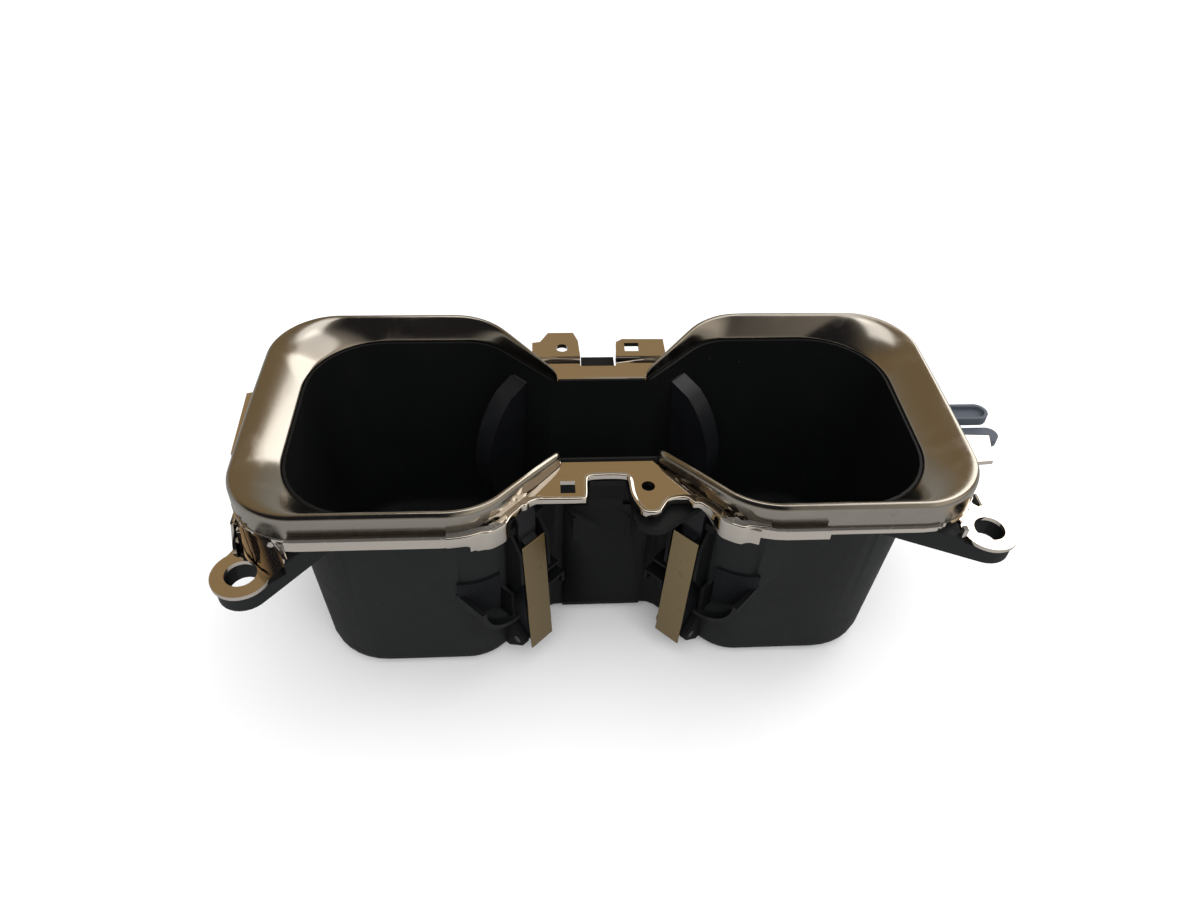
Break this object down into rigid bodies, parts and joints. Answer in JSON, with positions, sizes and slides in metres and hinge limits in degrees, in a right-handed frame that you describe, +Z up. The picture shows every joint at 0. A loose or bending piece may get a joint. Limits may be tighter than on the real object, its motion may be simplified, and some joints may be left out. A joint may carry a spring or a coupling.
{
  "type": "car cup holder",
  "caption": "Hourglass car console cup holder: a deep black moulded tub with cup wells joined by a neck channel, satin rims, a plated frame with fixing ears, and sprung cup grippers.",
  "frame": {"origin": "centre of the tub's flat base", "axes": "+X along the two wells to the right, +Y to the back, +Z up out of the wells"},
  "size_m": [0.2585, 0.1161, 0.09],
  "materials": {
    "tub_plastic": "fine grained matt black",
    "plated_gloss": "bright plated, warm bronze nickel",
    "rim_satin": "satin plated, warm grey nickel",
    "gripper_plastic": "smooth satin dark grey",
    "spring_steel": "bright rolled spring steel, warm tint",
    "pin_steel": "plain ground",
    "felt": "fuzzy black felt"
  },
  "bodies": {
    "holder": {"cup_tub": "tub_plastic", "carrier_frame": "plated_gloss", "rim_left": "rim_satin", "rim_right": "rim_satin", "hinge_pin_front_left": "pin_steel", "hinge_pin_front_right": "pin_steel", "hinge_pin_rear_left": "pin_steel", "hinge_pin_rear_right": "pin_steel", "felt_pad_left": "felt", "felt_pad_right": "felt"},
    "front_left_gripper": {"gripper_front_left": "gripper_plastic", "leaf_spring_front_left": "spring_steel"},
    "front_right_gripper": {"gripper_front_right": "gripper_plastic", "leaf_spring_front_right": "spring_steel"},
    "rear_left_gripper": {"gripper_rear_left": "gripper_plastic", "leaf_spring_rear_left": "spring_steel"},
    "rear_right_gripper": {"gripper_rear_right": "gripper_plastic", "leaf_spring_rear_right": "spring_steel"}
  },
  "joints": [
    {"name": "front_left_grip", "type": "hinge", "parent": "holder", "child": "front_left_gripper", "pos_m": [-0.02608, -0.03433, 0.013], "axis": [0.7148, 0.6993, 0], "range_deg": [0, 15], "stiffness_Nm_per_rad": 0.8, "springref_deg": -4.58},
    {"name": "front_right_grip", "type": "hinge", "parent": "holder", "child": "front_right_gripper", "pos_m": [0.02608, -0.03433, 0.013], "axis": [0.7148, -0.6993, 0], "range_deg": [0, 15], "stiffness_Nm_per_rad": 0.8, "springref_deg": -4.58},
    {"name": "rear_left_grip", "type": "hinge", "parent": "holder", "child": "rear_left_gripper", "pos_m": [-0.02608, 0.03433, 0.013], "axis": [-0.7148, 0.6993, 0], "range_deg": [0, 15], "stiffness_Nm_per_rad": 0.8, "springref_deg": -4.58},
    {"name": "rear_right_grip", "type": "hinge", "parent": "holder", "child": "rear_right_gripper", "pos_m": [0.02608, 0.03433, 0.013], "axis": [-0.7148, -0.6993, 0], "range_deg": [0, 15], "stiffness_Nm_per_rad": 0.8, "springref_deg": -4.58}
  ]
}
